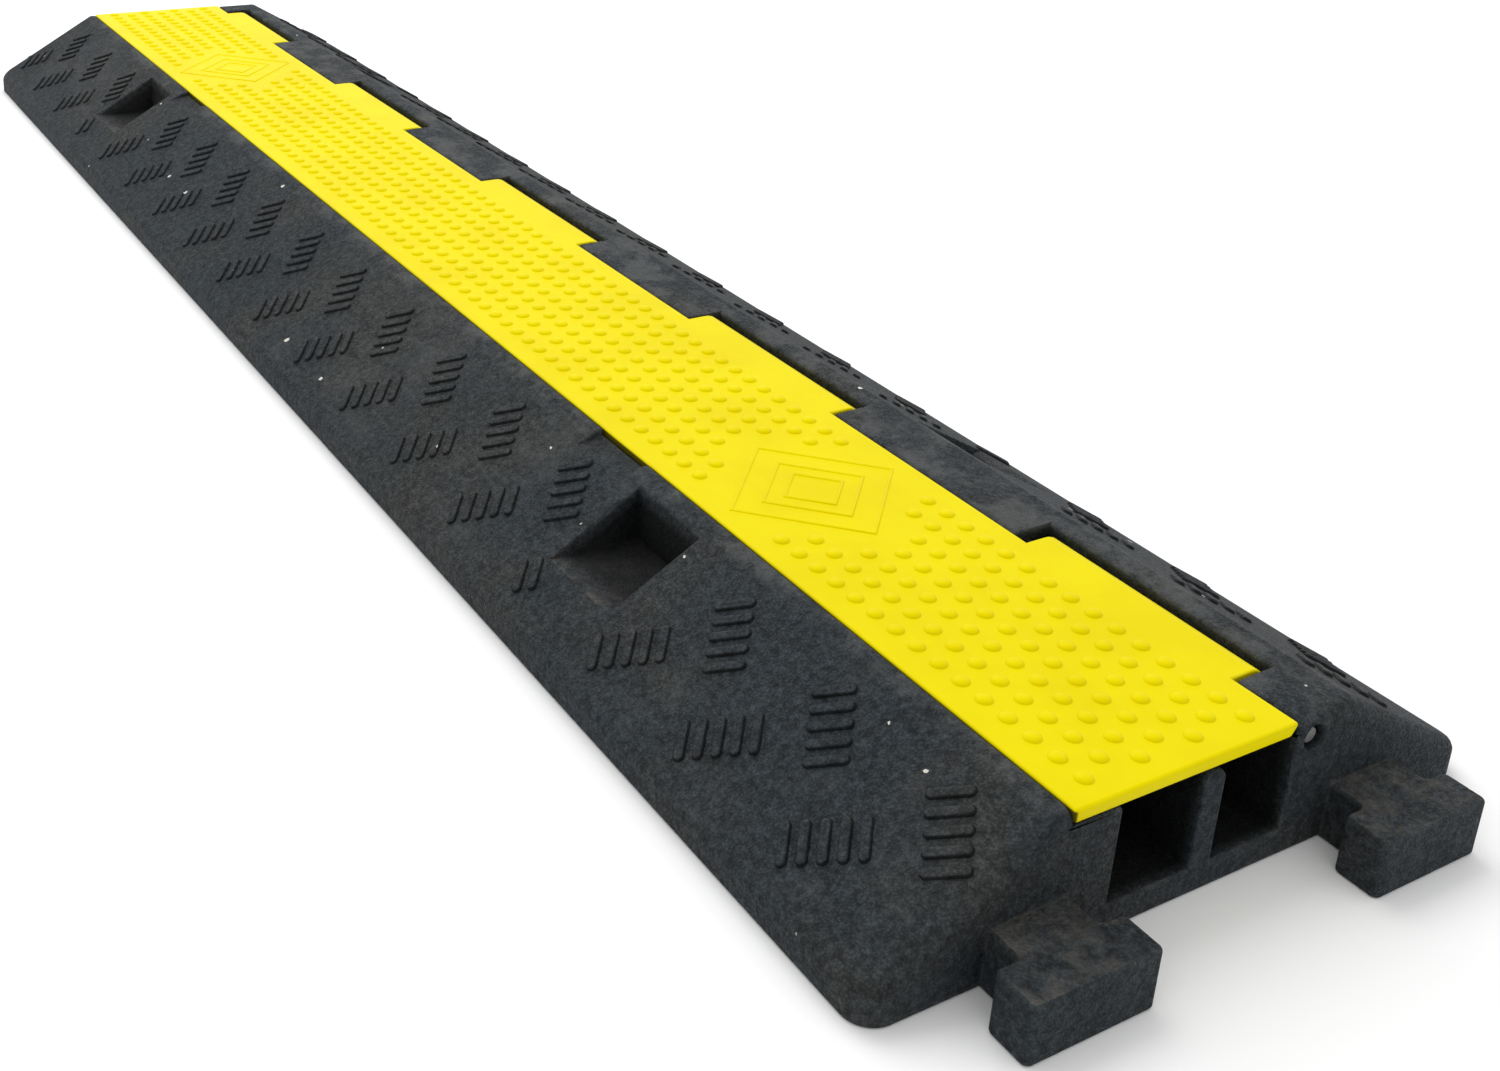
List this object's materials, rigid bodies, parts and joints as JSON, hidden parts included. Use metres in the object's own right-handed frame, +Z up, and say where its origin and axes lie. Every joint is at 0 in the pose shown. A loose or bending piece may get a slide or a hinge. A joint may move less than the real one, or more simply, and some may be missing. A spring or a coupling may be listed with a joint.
{
  "type": "cable protector ramp",
  "caption": "Low rubber ramp with two cable channels under a yellow hinged lid, T-shaped lugs at one end and matching sockets at the other.",
  "frame": {"origin": "centre of the underside of the ramp body, on the ground", "axes": "+X along the ramp towards the connector lugs, +Y towards the hinge side, +Z up"},
  "size_m": [1.0285, 0.25, 0.0485],
  "materials": {
    "rubber": "fine moulded grain, dusty",
    "lid_plastic": "satin, with small raised dots",
    "rod_steel": "plain drawn bar"
  },
  "bodies": {
    "base": {"ramp_body": "rubber", "hinge_rod": "rod_steel"},
    "lid": {"channel_lid": "lid_plastic"}
  },
  "joints": [
    {"name": "lid_hinge", "type": "hinge", "parent": "base", "child": "lid", "pos_m": [0, 0.0425, 0.0405], "axis": [-1, 0, 0], "range_deg": [0, 92]}
  ]
}
